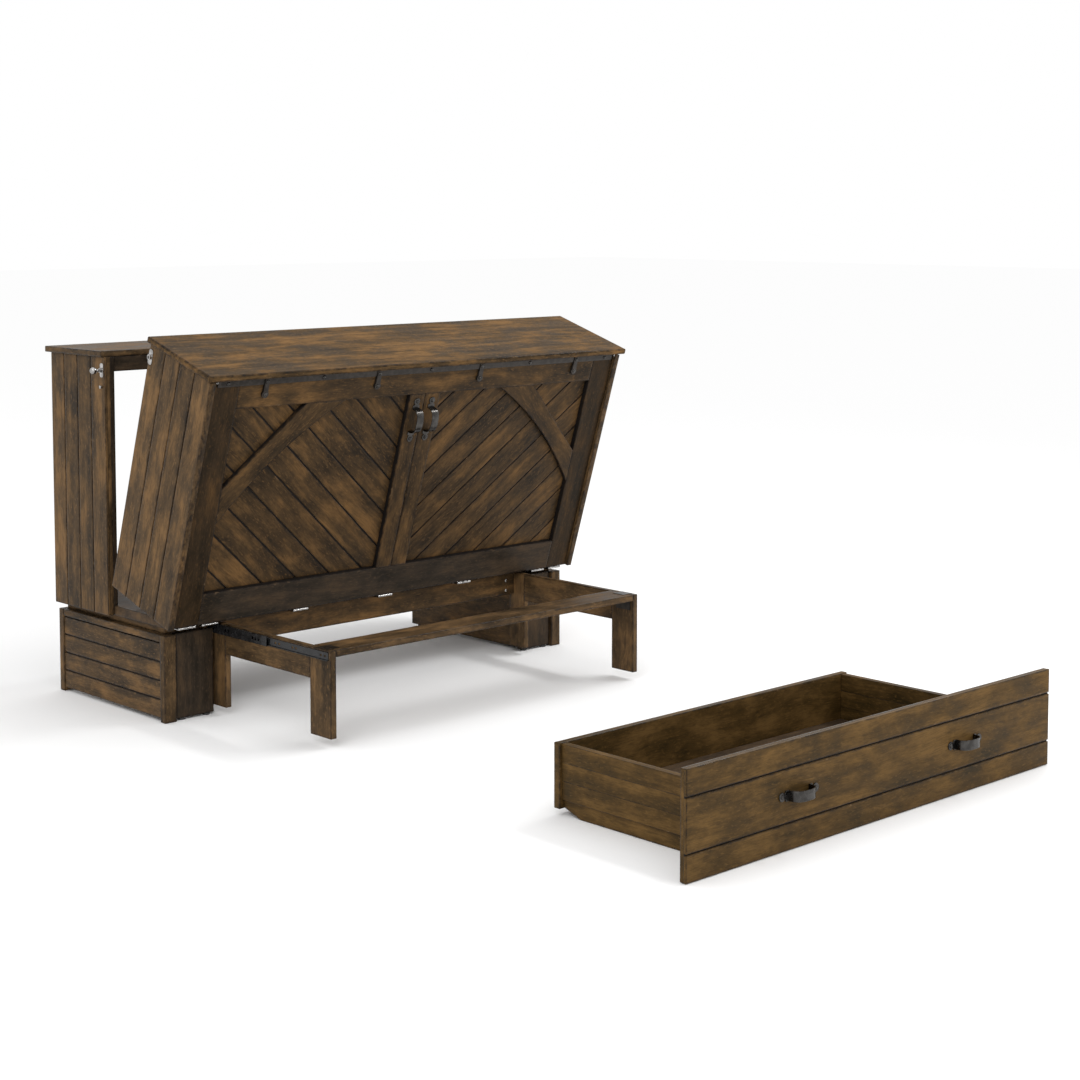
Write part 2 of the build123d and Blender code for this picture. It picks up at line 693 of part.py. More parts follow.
# ---- write every node ----
right_side = base_side()
save("base_posts", base_posts())
save("base_side_right", right_side)
save("base_side_left", [mirror(s, Plane.YZ) for s in right_side])
save("base_cheeks", base_cheeks())
save("base_plinths", base_plinths())
save("slide_walls", slide_walls())
save("bed_deck", bed_deck())
save("base_glides", base_glides())
save("rear_side_right", [rear_side()])
save("rear_side_left", [mirror(rear_side(), Plane.YZ)])
save("rear_stiles", rear_stiles())
save("rear_top", rear_top())
save("rear_rails", rear_rails())
save("slide_outer", slide_outer())
save("slide_middle", slide_middle())
save("slide_inner", slide_inner())
save("frame_front_legs", frame_front_legs())
save("frame_rear_legs", frame_rear_legs())
save("frame_aprons", frame_aprons())
save("frame_rear_rail", frame_rear_rail())
save("frame_front_board", frame_front_board())
save("frame_corner_brackets", frame_corner_brackets())
save("frame_rail_bolts", frame_rail_bolts())
save("box_side_right", [box_side()], tipped)
save("box_side_left", [mirror(box_side(), Plane.YZ)], tipped)
save("face_backing", face_backing(), tipped)
save("face_stiles", face_stiles(), tipped)
save("face_top_rail", face_top_rail(), tipped)
save("face_bottom_rail", face_bottom_rail(), tipped)
save("centre_stiles", centre_stiles(), tipped)
save("face_braces", face_braces(), tipped)
right_panel = chevron_panel()
save("chevron_panel_right", right_panel, tipped)
save("chevron_panel_left", [mirror(s, Plane.YZ) for s in right_panel], tipped)
save("barn_rail", barn_rail(), tipped)
save("rail_bolts", box_piece_bolts(), tipped)
save("rail_hangers", rail_hangers(), tipped)
save("door_pulls", door_pulls(), tipped)
save("door_pull_screws", door_pull_screws(), tipped)
save("hinge_fixed_leaves", hinge_fixed_leaves())
save("hinge_moving_leaves", hinge_moving_leaves(), tipped)
save("hinge_pins", hinge_pins())
save("lid_pivot_pins", lid_pivot_pins(), tipped)
save("lid_board", lid_board(), tipped)
save("lid_pivot_brackets", lid_pivot_brackets(), tipped)
save("foot_hinge_fixed", foot_hinge_fixed(), tipped)
save("foot_hinge_moving", foot_hinge_moving(), tipped)
save("foot_leaf", foot_leaf(), tipped)
save("latch_plates", latch_plates())
save("strike_pins", strike_pins())
save("latch_plunger_right", [latch_plunger()])
save("latch_plunger_left", [mirror(latch_plunger(), Plane.YZ)])
save("latch_keepers", latch_keepers(), tipped)
save("drawer_front", drawer_front(), off_centre)
save("drawer_sides", drawer_sides(), off_centre)
save("drawer_back", drawer_back(), off_centre)
save("drawer_bottom", drawer_bottom(), off_centre)
save("drawer_runners", drawer_runners(), off_centre)
save("drawer_pulls", drawer_pulls(), off_centre)
save("drawer_pull_screws", drawer_pull_screws(), off_centre)
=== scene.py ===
import json
import math

import bpy
import numpy as np
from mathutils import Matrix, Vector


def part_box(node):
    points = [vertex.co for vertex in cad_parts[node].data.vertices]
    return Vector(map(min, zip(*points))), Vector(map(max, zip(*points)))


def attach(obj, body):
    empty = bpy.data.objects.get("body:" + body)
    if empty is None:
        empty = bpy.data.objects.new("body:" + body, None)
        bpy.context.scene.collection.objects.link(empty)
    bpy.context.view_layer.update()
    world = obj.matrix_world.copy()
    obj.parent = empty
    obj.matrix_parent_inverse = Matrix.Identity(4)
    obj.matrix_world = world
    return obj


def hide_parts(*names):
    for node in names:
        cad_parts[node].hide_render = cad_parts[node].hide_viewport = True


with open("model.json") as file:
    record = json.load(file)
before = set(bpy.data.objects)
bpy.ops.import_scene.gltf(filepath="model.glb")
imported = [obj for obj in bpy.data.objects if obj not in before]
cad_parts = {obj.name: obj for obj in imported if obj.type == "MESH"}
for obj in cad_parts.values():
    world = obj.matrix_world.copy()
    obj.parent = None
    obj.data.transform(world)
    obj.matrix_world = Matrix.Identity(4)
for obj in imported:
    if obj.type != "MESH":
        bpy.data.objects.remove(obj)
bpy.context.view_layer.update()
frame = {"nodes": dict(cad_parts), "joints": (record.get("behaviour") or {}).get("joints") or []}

# ---------------------------------------------------------------- base corner posts
# Square hardwood posts at the four corners of the low base, stained dark walnut and
# sanded on their edges.  The side panels are let in between them.
POST_WIDTH = 0.040
POST_DEPTH = 0.025
EASE = 0.0016                    # radius that sanding leaves on an edge
WORN_BAND = 0.006                # how far in from an edge the glaze and wear reach
draws = np.random.default_rng(11)


def span(node):
    """A node's lowest and highest corner, as arrays."""
    low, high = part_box(node)
    return np.array(low), np.array(high)


def part(points, faces, wear_and_shade, grain):
    """One closed shell with its wear and its wood coordinates, each board cut from its own
    place in the tree: a random offset is added to the grain."""
    offset = draws.uniform(-20, 20, 3)
    tone = np.full(len(points), draws.uniform())
    return {"points": points, "faces": faces, "wear_and_shade": wear_and_shade, "grain": grain + offset, "tone": tone}


def tube_faces(rings, around):
    """Quads between neighbouring rings of a tube, and a cap on each end ring."""
    i, j = np.meshgrid(np.arange(rings - 1), np.arange(around), indexing="ij")
    k = (j + 1) % around
    quads = np.stack([i * around + j, i * around + k, (i + 1) * around + k, (i + 1) * around + j], -1)
    first = list(range(around))[::-1]
    last = list(range((rings - 1) * around, rings * around))
    return quads.reshape(-1, 4).tolist() + [first, last]


def rounded_ring(half_a, half_b, inset, ease, band):
    """A rounded rectangle drawn in by inset: each corner is a quarter circle of three points,
    with one more point on the flat either side of it."""
    radius = max(ease - inset, 1e-4)
    a0, b0 = half_a - max(inset, ease), half_b - max(inset, ease)
    turn = np.radians([0, 45, 90])
    a = np.r_[a0 + radius, a0 + radius * np.cos(turn), a0 - min(band, 0.9 * a0)]
    b = np.r_[b0 - min(band, 0.9 * b0), b0 + radius * np.sin(turn), b0 + radius]
    return np.stack([np.r_[a, -a[::-1], -a, a[::-1]], np.r_[b, b[::-1], -b, -b[::-1]]], 1)


def eased_stations(start, end, ease, cap, band):
    """Stations from one end to the other: (place, inset, wear), following a quarter circle of
    radius ease at both ends, after a flat cap ring drawn in by cap."""
    bow = ease * (1 - math.sin(math.pi / 4))
    head = [(0, ease + cap, 0), (0, ease, 1), (bow, bow, 1), (ease, 0, 1), (ease + band, 0, None)]
    near = [(start + p, inset, wear) for p, inset, wear in head]
    far = [(end - p, inset, wear) for p, inset, wear in reversed(head)]
    return near + far


def board(low, high, along, ease=EASE, band=WORN_BAND):
    """A sawn board: the rounded rectangle of its section carried straight along one axis,
    drawn in at both ends.  Wear is 1 on every eased edge and fades out across the band."""
    low, high = np.minimum(low, high), np.maximum(low, high)
    a, b = (along + 1) % 3, (along + 2) % 3
    half, middle = (high - low) / 2, (high + low) / 2
    thin = min(half[a], half[b])
    ease = min(ease, 0.4 * thin)
    band = min(band, 0.4 * half[along])
    cap = min(band, 0.8 * (thin - ease))
    flat = np.tile([0, 1, 1, 1, 0], 4)
    rings, wear = [], []
    for place, inset, wear_and_shade in eased_stations(low[along], high[along], ease, cap, band):
        ring = rounded_ring(half[a], half[b], inset, ease, band)
        points = np.empty((len(ring), 3))
        points[:, along], points[:, a], points[:, b] = place, ring[:, 0] + middle[a], ring[:, 1] + middle[b]
        rings.append(points)
        wear.append(flat if wear_and_shade is None else np.full(len(ring), wear_and_shade))
    points = np.concatenate(rings)
    grain = points[:, [along, a, b]]
    return part(points, tube_faces(len(rings), len(flat)), np.concatenate(wear).astype(float), grain)


def mapped(piece, matrix, offset=(0, 0, 0)):
    """The piece turned by a matrix and moved, its faces turned over where the matrix mirrors."""
    matrix = np.array(matrix, float)
    faces = piece["faces"]
    if np.linalg.det(matrix) < 0:
        faces = [face[::-1] for face in faces]
    return {**piece, "points": piece["points"] @ matrix.T + np.array(offset), "faces": faces}


def other_side(low, high):
    """The same corners on the other side of the bed's centre line."""
    return np.array([-high[0], low[1], low[2]]), np.array([-low[0], high[1], high[2]])


def pair(low, high, along, **finish):
    """A board and its fellow on the other side of the bed."""
    low, high = np.array(low, float), np.array(high, float)
    return [board(low, high, along, **finish), board(*other_side(low, high), along, **finish)]


def made(name, parts, material, body, nodes, place=None, sharp=50):
    """One mesh from its parts, riding on a body in place of its CAD nodes."""
    starts = np.cumsum([0] + [len(p["points"]) for p in parts])
    points = np.concatenate([p["points"] for p in parts])
    faces = [[v + int(s) for v in face] for s, p in zip(starts, parts) for face in p["faces"]]
    mesh = bpy.data.meshes.new(name)
    mesh.from_pydata((place(points) if place else points).tolist(), [], faces)
    for key, kind, field in (("grain", "FLOAT_VECTOR", "vector"), ("wear_and_shade", "FLOAT", "value"),
                             ("tone", "FLOAT", "value")):
        values = np.concatenate([p[key] for p in parts]).astype(np.float32)
        mesh.attributes.new(key, kind, "POINT").data.foreach_set(field, values.ravel())
    mesh.shade_smooth()
    mesh.set_sharp_from_angle(angle=math.radians(sharp))
    mesh.materials.append(material)
    piece = bpy.data.objects.new(name, mesh)
    bpy.context.scene.collection.objects.link(piece)
    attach(piece, body)
    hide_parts(*nodes)
    return piece


def add(tree, kind, sockets, **settings):
    """A shader node with its settings; a socket is given a value or linked to an output."""
    node = tree.nodes.new(kind)
    for key, value in settings.items():
        setattr(node, key, value)
    for key, value in sockets.items():
        if isinstance(value, bpy.types.NodeSocket):
            tree.links.new(value, node.inputs[key])
        else:
            node.inputs[key].default_value = value
    return node


def blank(name):
    """A new material, its tree and its principled shader."""
    material = bpy.data.materials.new(name)
    material.use_nodes = True
    return material, material.node_tree, material.node_tree.nodes["Principled BSDF"]


def ramp(tree, factor, stops):
    """Colours blended along a factor."""
    node = add(tree, "ShaderNodeValToRGB", {"Fac": factor})
    while len(node.color_ramp.elements) < len(stops):
        node.color_ramp.elements.new(0.5)
    for element, (place, colour) in zip(node.color_ramp.elements, stops):
        element.position, element.color = place, (*colour, 1)
    return node.outputs["Color"]


def noise(tree, vector, detail, roughness=0.5):
    return add(tree, "ShaderNodeTexNoise", {"Vector": vector, "Scale": 1.0, "Detail": detail,
                                            "Roughness": roughness}).outputs["Fac"]


def sums(tree, a, b, operation):
    return add(tree, "ShaderNodeMath", {0: a, 1: b}, operation=operation).outputs[0]


def fade(tree, value, low, high, to_low=0.0, to_high=1.0):
    """A value's range low to high, carried smoothly to a new range."""
    return add(tree, "ShaderNodeMapRange", {"Value": value, "From Min": low, "From Max": high,
               "To Min": to_low, "To Max": to_high}, interpolation_type="SMOOTHSTEP").outputs["Result"]


def blended(tree, factor, a, b, how="MIX"):
    node = add(tree, "ShaderNodeMix", {}, data_type="RGBA", blend_type=how)
    for index, value in ((0, factor), (6, a), (7, b)):
        if isinstance(value, bpy.types.NodeSocket):
            tree.links.new(value, node.inputs[index])
        else:
            node.inputs[index].default_value = value if index == 0 else (*value, 1)
    return node.outputs[2]


def stained_wood(name, dark, brown, warm, rough=(0.42, 0.6), mottle=0.7, gloss=0.09):
    """Distressed stained wood: cloudy stain over long streaks, fine open pores, near-black glazing
    caught along the eased edges, and rub-through where the glazing has rubbed away.  The wear and
    shade attribute is 1 on an eased edge and 2 at the foot of a groove, in a slot or on a side face
    in a recess, which is painted near-black all over: glazing and painted shade."""
    material, tree, shader = blank(name)
    grain = add(tree, "ShaderNodeAttribute", {}, attribute_name="grain").outputs["Vector"]
    wear_and_shade = add(tree, "ShaderNodeAttribute", {}, attribute_name="wear_and_shade").outputs["Fac"]
    tone = add(tree, "ShaderNodeAttribute", {}, attribute_name="tone").outputs["Fac"]

    def stretched(vector, scale):
        return add(tree, "ShaderNodeVectorMath", {0: vector, 1: scale}, operation="MULTIPLY").outputs[0]

    sway = add(tree, "ShaderNodeTexNoise", {"Vector": stretched(grain, (2.5, 8, 8)), "Scale": 1.0,
                                            "Detail": 2.0}).outputs["Color"]
    lean = stretched(sway, (0.0, 0.05, 0.05))
    bent = add(tree, "ShaderNodeVectorMath", {0: grain, 1: lean}, operation="ADD").outputs[0]
    streaks = noise(tree, stretched(bent, (3.0, 48, 48)), 6, 0.6)
    clouds = noise(tree, stretched(bent, (7, 14, 14)), 7, 0.66)
    flecks = noise(tree, stretched(bent, (70, 210, 210)), 3, 0.6)
    pores = noise(tree, stretched(bent, (24, 620, 620)), 2)
    patches = noise(tree, stretched(grain, (38, 60, 60)), 4, 0.6)
    cloudy, streaky = sums(tree, clouds, mottle, "MULTIPLY"), sums(tree, streaks, 1 - mottle, "MULTIPLY")
    figure = sums(tree, cloudy, streaky, "ADD")
    shift = fade(tree, tone, 0, 1, -0.03, 0.03)
    colour = ramp(tree, sums(tree, figure, shift, "ADD"), [(0.37, dark), (0.5, brown), (0.64, warm)])
    colour = blended(tree, fade(tree, flecks, 0.55, 0.68, 0, 0.5), colour, warm)
    colour = blended(tree, fade(tree, pores, 0.5, 0.66, 0, 0.35), colour, [c * 0.4 for c in dark])
    patchy = fade(tree, patches, 0.3, 0.62, 0.9, 0.25)
    # Near-black glazing on the eased edges; where the value is 2, painted shade at groove feet, in slots and
    # on side faces in a recess.
    glazing_and_shade = sums(tree, sums(tree, wear_and_shade, wear_and_shade, "MULTIPLY"), patchy, "MULTIPLY")
    colour = blended(tree, glazing_and_shade, colour, (0.012, 0.010, 0.009))
    edge_only = sums(tree, wear_and_shade, sums(tree, 2.0, wear_and_shade, "SUBTRACT"), "MULTIPLY")
    rubbed = sums(tree, edge_only, fade(tree, patches, 0.6, 0.72, 0, 0.4), "MULTIPLY")
    colour = blended(tree, rubbed, colour, (0.19, 0.12, 0.065))
    height = sums(tree, sums(tree, streaks, 0.5, "MULTIPLY"), pores, "SUBTRACT")
    bump = add(tree, "ShaderNodeBump", {"Height": height, "Strength": 0.25, "Distance": 0.0006})
    tree.links.new(colour, shader.inputs["Base Color"])
    matt, polished = fade(tree, clouds, 0.35, 0.65, *rough), fade(tree, edge_only, 0.5, 1, 0, 0.22)
    tree.links.new(sums(tree, matt, polished, "SUBTRACT"), shader.inputs["Roughness"])
    tree.links.new(bump.outputs["Normal"], shader.inputs["Normal"])
    shader.inputs["Specular IOR Level"].default_value = gloss
    return material


walnut = stained_wood("walnut", (0.026, 0.017, 0.009), (0.084, 0.051, 0.024), (0.200, 0.112, 0.046))

low, high = span("base_posts")
posts = []
for y0, y1 in ((low[1], low[1] + POST_DEPTH), (high[1] - POST_DEPTH, high[1])):
    posts += pair((high[0] - POST_WIDTH, y0, low[2]), (high[0], y1, high[2]), 2)
made("corner_posts", posts, walnut, "root", ["base_posts"])

# ---------------------------------------------------------------- base side panels
# Four boards lie on edge between the posts under a flat top rail, with a slot below
# the rail.  They are glued to a thin backing painted near-black where it shows, glazing and painted shade, so
# the joints and the slot show as near-black grooves.
SIDE_RAIL_HEIGHT = 0.021
SIDE_SLOT = 0.004
SIDE_SKIN = 0.018
GROOVE = 0.0042
PLANK_SKIN = 0.008
GROOVE_DEPTH = 0.004
PLANK_EASE = 0.0011
PLANK_BAND = 0.005
BACKING_EASE = 0.0004            # backings are barely eased, and stand in by as much
FACE_SKIN = 0.001                # what counts as the face of a piece that is painted near-black: glazing and painted shade
PANEL_SET_BACK = 0.002           # the panel lies behind the face of its rail
EXTRA_PITCH = 0.001              # the upper boards are a little wider than the lowest
SLOT_SET_BACK = 0.007
SLOT_LAP = (0.002, 0.001)        # how far the slot's strip laps the panel and the rail


def glazing_and_shade_face(piece, face, sign):
    """The piece painted near-black all over the face that looks along one axis, as at the foot of a
    groove: glazing and painted shade; its other faces keep the plain stain."""
    depth = sign * piece["points"][:, face]
    return {**piece, "wear_and_shade": np.where(depth > depth.max() - FACE_SKIN, 2.0, piece["wear_and_shade"])}


def planked(low, high, face, sign, split, along, cuts):
    """Planks laid side by side along `along`, split across `split` at each groove, standing on a
    backing that is set back from their face (axis `face`, facing `sign`)."""
    low, high = np.array(low, float), np.array(high, float)
    edges = [low[split]] + [v for cut in sorted(cuts) for v in (cut, cut + GROOVE)] + [high[split]]
    outer = high[face] if sign > 0 else low[face]
    parts = []
    for start, end in zip(edges[::2], edges[1::2]):
        a, b = low.copy(), high.copy()
        a[split], b[split] = start, end
        a[face], b[face] = sorted((outer, outer - sign * PLANK_SKIN))
        parts.append(board(a, b, along, ease=PLANK_EASE, band=PLANK_BAND))
    a, b = low + BACKING_EASE, high - BACKING_EASE
    a[face], b[face] = (low[face], outer - GROOVE_DEPTH) if sign > 0 else (outer + GROOVE_DEPTH, high[face])
    # The backing's face, seen at the foot of each groove, is painted near-black: glazing and painted shade.
    return parts + [glazing_and_shade_face(board(a, b, along, ease=BACKING_EASE), face, sign)]


for name, sign in (("base_side_right", 1), ("base_side_left", -1)):
    low, high = span(name)
    low, high = (low, high) if sign > 0 else other_side(low, high)
    top, face = high[2] - SIDE_RAIL_HEIGHT - SIDE_SLOT, high[0] - PANEL_SET_BACK
    pitch = (top - low[2]) / 4 + EXTRA_PITCH
    parts = [board((low[0], low[1], high[2] - SIDE_RAIL_HEIGHT), high, 1)]
    parts += planked((face - SIDE_SKIN, low[1], low[2]), (face, high[1], top), 0, 1, 2, 1,
                     [top - i * pitch for i in (1, 2, 3)])
    # The strip at the back of the slot under the rail is painted near-black: painted shade under the rail,
    # with glazing.
    strip_top = high[2] - SIDE_RAIL_HEIGHT + SLOT_LAP[1]
    parts.append(glazing_and_shade_face(board((face - SIDE_SKIN, low[1], top - SLOT_LAP[0]),
                              (face - SLOT_SET_BACK, high[1], strip_top), 1), 0, 1))
    flip = np.diag([sign, 1, 1])
    made(name + "_boards", [mapped(p, flip) for p in parts], walnut, "root", [name])

# ---------------------------------------------------------------- base front, walls and deck
# Cheeks close the front either side of the opening, plain walls carry the slides, and short
# plinth strips lift a stained plywood deck clear of the base.
plywood = stained_wood("stained_plywood", (0.035, 0.025, 0.017), (0.075, 0.048, 0.028), (0.12, 0.074, 0.038),
                       rough=(0.5, 0.65), mottle=0.35)


# A darker copy of walnut with painted shade, for the front cheeks, the open-edge stiles, the rear cross rails
# and the face's lower rail.
shade_painted_walnut = stained_wood("shade_painted_walnut", (0.016, 0.012, 0.008), (0.036, 0.025, 0.016), (0.070, 0.044, 0.024))


def one_each_side(node, name, along, thickness, material, body="root", ease=EASE):
    """A board each side, as wide across the bed as its thickness, at the node's outer limits."""
    low, high = span(node)
    low[0] = high[0] - thickness
    made(name, pair(low, high, along, ease=ease), material, body, [node])


CHEEK_WIDTH = 0.130
WALL_THICK = 0.018
PLINTH_WIDTH = 0.075
one_each_side("base_cheeks", "front_cheeks", 2, CHEEK_WIDTH, shade_painted_walnut)
one_each_side("slide_walls", "inner_walls", 1, WALL_THICK, walnut)
one_each_side("base_plinths", "plinth_strips", 1, PLINTH_WIDTH, walnut)
made("deck_board", [board(*span("bed_deck"), 0)], plywood, "root", ["bed_deck"])

# ---------------------------------------------------------------- rear cabinet
# Upright tongued planks form each side, stiffened by a stile along the open front edge.  A
# solid top with eased edges sits over them, with a cross rail below it and one at the back.
REAR_PITCH = 0.077
STILE_THICK = 0.014
RAIL_THICK = 0.018
FRONT_RAIL_HEIGHT = 0.045
TOP_EASE = 0.0025
for name, sign in (("rear_side_right", 1), ("rear_side_left", -1)):
    low, high = span(name)
    low, high = (low, high) if sign > 0 else other_side(low, high)
    parts = planked(low, high, 0, 1, 1, 2, [low[1] + i * REAR_PITCH for i in (1, 2, 3)])
    flip = np.diag([sign, 1, 1])
    made(name + "_planks", [mapped(p, flip) for p in parts], walnut, "root", [name])
one_each_side("rear_stiles", "open_edge_stiles", 2, STILE_THICK, shade_painted_walnut)
made("rear_top_board", [board(*span("rear_top"), 0, ease=TOP_EASE)], walnut, "root", ["rear_top"])
low, high = span("rear_rails")
front_half = high[0] - STILE_THICK
made("rear_cross_rails", [
    board((-front_half, low[1], high[2] - FRONT_RAIL_HEIGHT), (front_half, low[1] + RAIL_THICK, high[2]), 0),
    board((low[0], high[1] - RAIL_THICK, low[2]), high, 0)], shade_painted_walnut, "root", ["rear_rails"])

# ---------------------------------------------------------------- tilting box sides
# The box turns on the hinges along its bottom edge.  Its sides are planked like the rear
# cabinet's, and the front plank stands proud of the face and is notched under the lid.
hinge = next(j for j in frame["joints"] if j["name"] == "box_tilt")
TILT = -math.radians(hinge["range_deg"][0])
PIVOT = np.array(hinge["pos_m"])
TURN = np.array([[1, 0, 0], [0, math.cos(TILT), -math.sin(TILT)], [0, math.sin(TILT), math.cos(TILT)]])
LID_NOTCH = 0.005
GROOVE_LAP = 0.004               # the strip behind the front groove laps both planks


def tipped(points):
    """Points drawn upright from the hinge axis, turned forward about it and set in place."""
    return points @ TURN.T + PIVOT


def upright(node):
    """A tipped node's lowest and highest corner, measured upright from the hinge axis."""
    mesh = frame["nodes"][node].data
    points = np.empty(len(mesh.vertices) * 3, np.float32)
    mesh.vertices.foreach_get("co", points)
    points = (points.reshape(-1, 3) - PIVOT) @ TURN
    return points.min(0), points.max(0)


def drawn_in(outline, amount):
    """An outline with every side moved inwards by amount: each corner goes along the sum of its
    two inward normals, divided by one plus their dot product."""
    before = outline - np.roll(outline, 1, 0)
    after = np.roll(before, -1, 0)
    left = [np.stack([-d[:, 1], d[:, 0]], 1) / np.linalg.norm(d, axis=1)[:, None] for d in (before, after)]
    return outline + amount * (left[0] + left[1]) / (1 + (left[0] * left[1]).sum(1))[:, None]


def sawn(outline, back, front, ease=EASE, band=0.004, heading=0.0):
    """A flat piece cut to an outline (u, v) and as thick as back to front (w), with eased edges;
    its grain runs at the angle heading in the plane of the outline."""
    outline = np.array(outline, float)
    after = np.roll(outline, -1, 0)
    if (outline[:, 0] * after[:, 1] - outline[:, 1] * after[:, 0]).sum() < 0:
        outline = outline[::-1]
    ease = min(ease, 0.4 * (front - back))
    stations = [s for s in eased_stations(back, front, ease, band, 0) if s[2] is not None]
    rings = [np.c_[drawn_in(outline, inset), np.full(len(outline), place)] for place, inset, _ in stations]
    points = np.concatenate(rings)
    wear_and_shade = np.repeat([float(wear) for _, _, wear in stations], len(outline))
    c, s = math.cos(heading), math.sin(heading)
    grain = points @ np.array([[c, -s, 0], [s, c, 0], [0, 0, 1]])
    return part(points, tube_faces(len(rings), len(outline)), wear_and_shade, grain)


FACING = [[1, 0, 0], [0, 0, -1], [0, 1, 0]]      # (u, v, w) to x, z and out of the face
ENDWAYS = [[0, 0, 1], [1, 0, 0], [0, 1, 0]]      # (u, v, w) to y, z and across the bed

for name, sign in (("box_side_right", 1), ("box_side_left", -1)):
    low, high = upright(name)
    low, high = (low, high) if sign > 0 else other_side(low, high)
    cuts = [high[1] - i * REAR_PITCH - GROOVE for i in (1, 2, 3)]
    edge = cuts[-1]
    outline = [(low[1], low[2]), (edge, low[2]), (edge, high[2]), (0, high[2]),
               (0, high[2] - LID_NOTCH), (low[1], high[2] - LID_NOTCH)]
    parts = [mapped(sawn(outline, low[0], high[0], band=PLANK_BAND, heading=math.pi / 2), ENDWAYS)]
    rear = low.copy()
    rear[1] = edge + GROOVE
    parts += planked(rear, high, 0, 1, 1, 2, cuts[:2])
    # The strip behind the front groove is painted near-black on its face: glazing and painted shade.
    strip_low = (low[0] + BACKING_EASE, edge - GROOVE_LAP, low[2] + BACKING_EASE)
    strip_high = (high[0] - GROOVE_DEPTH, edge + GROOVE + GROOVE_LAP, high[2] - BACKING_EASE)
    parts.append(glazing_and_shade_face(board(strip_low, strip_high, 2, ease=BACKING_EASE), 0, 1))
    flip = np.diag([sign, 1, 1])
    made(name + "_planks", [mapped(p, flip) for p in parts], walnut, "box", [name], tipped)

# ---------------------------------------------------------------- face framing
# Flush stiles and rails are glued over a plywood backing, with a pair of centre stiles that
# meet at the door gap, so that the tipping face looks like two barn doors.
FACE_FRONT = 0.0
GLAZING_AND_SHADE_START = 0.005              # how far behind the front the near-black paint begins: glazing and painted shade of the recess and door gap
FRAMING_EASE = 0.001
MEETING_EASE = 0.0014
HALF_DOOR_GAP = 0.001
# Darker copies of walnut for the forward-tipped face, which gets less light: painted shade, darkest on the
# outer stiles.
shade_painted_stile_walnut = stained_wood("shade_painted_stile_walnut", (0.014, 0.009, 0.004), (0.034, 0.020, 0.009),
                            (0.080, 0.042, 0.015))
shade_painted_face_walnut = stained_wood("shade_painted_face_walnut", (0.020, 0.013, 0.007), (0.060, 0.035, 0.015), (0.150, 0.080, 0.029))


def deep_glazing_and_shade(piece):
    """The piece painted near-black on all of it that lies behind the front edges: its side faces in the panel
    recess and at the door gap, glazing and painted shade.
    """
    return {**piece, "wear_and_shade": np.where(piece["points"][:, 1] > GLAZING_AND_SHADE_START, 2.0, piece["wear_and_shade"])}


low, high = upright("face_backing")
FACE_EDGE = high[0]
made("face_plywood", [board(low, high, 0)], plywood, "box", ["face_backing"], tipped)
STILE_BACK = low[1]
STILE_WIDTH = 0.088
low, high = upright("face_stiles")
stiles = pair((high[0] - STILE_WIDTH, FACE_FRONT, low[2]), (high[0], STILE_BACK, high[2]), 2,
              ease=FRAMING_EASE)
made("outer_stiles", [deep_glazing_and_shade(p) for p in stiles], shade_painted_stile_walnut, "box", ["face_stiles"], tipped)
# The lower rail takes the walnut with painted shade, darker towards the bottom of the face.
for node, name, finish in (("face_top_rail", "upper_rail", shade_painted_face_walnut),
                           ("face_bottom_rail", "lower_rail", shade_painted_walnut)):
    rail = deep_glazing_and_shade(board(*upright(node), 0, ease=FRAMING_EASE))
    made(name, [rail], finish, "box", [node], tipped)
low, high = upright("centre_stiles")
CENTRE_EDGE, PANEL_FOOT, PANEL_HEAD = high[0], low[2], high[2]
stiles = pair((HALF_DOOR_GAP, low[1], low[2]), high, 2, ease=MEETING_EASE)
made("meeting_stiles", [deep_glazing_and_shade(p) for p in stiles], shade_painted_face_walnut, "box", ["centre_stiles"],
     tipped)

# ---------------------------------------------------------------- arched braces
# Each brace crosses an upper corner: straight along its outer edge and hollowed to an arc on
# the inner one, cut from wide board and set flush with the framing.
BRACE_RUN = 0.250
BRACE_REACH = 0.392
BRACE_DROP = 0.360
BRACE_RISE = 0.036
BRACE_SHIFT = 0.002              # the arc's middle lies this far outside its half-way line
BRACE_EASE = 0.0012
PANEL_EDGE = FACE_EDGE - STILE_WIDTH


def arc_through(start, middle, end, count):
    """Points evenly turned round the circle through three points, whose centre is where the
    perpendicular bisectors of the two chords meet."""
    start, middle, end = (np.array(p, float) for p in (start, middle, end))
    chords = np.array([middle - start, end - start])
    centre = np.linalg.solve(chords, (chords * (chords / 2 + start)).sum(1))
    angles = np.unwrap([math.atan2(*(p - centre)[::-1]) for p in (start, middle, end)])
    turn = np.linspace(angles[0], angles[2], count)
    return centre + np.linalg.norm(start - centre) * np.stack([np.cos(turn), np.sin(turn)], 1)


arc = arc_through((PANEL_EDGE, PANEL_HEAD - BRACE_DROP),
                  (PANEL_EDGE - BRACE_REACH / 2 + BRACE_SHIFT, PANEL_HEAD - BRACE_DROP / 2 + BRACE_RISE),
                  (PANEL_EDGE - BRACE_REACH, PANEL_HEAD), 33)
brace = np.concatenate([[(PANEL_EDGE - BRACE_RUN, PANEL_HEAD), (PANEL_EDGE, PANEL_HEAD - BRACE_RUN)], arc])
flat_brace = sawn(brace, -STILE_BACK, -FACE_FRONT, ease=BRACE_EASE, heading=-math.pi / 4)
right_brace = deep_glazing_and_shade(mapped(flat_brace, FACING))
left_brace = mapped(right_brace, np.diag([-1, 1, 1]))
made("corner_braces", [right_brace, left_brace], shade_painted_face_walnut, "box", ["face_braces"], tipped)

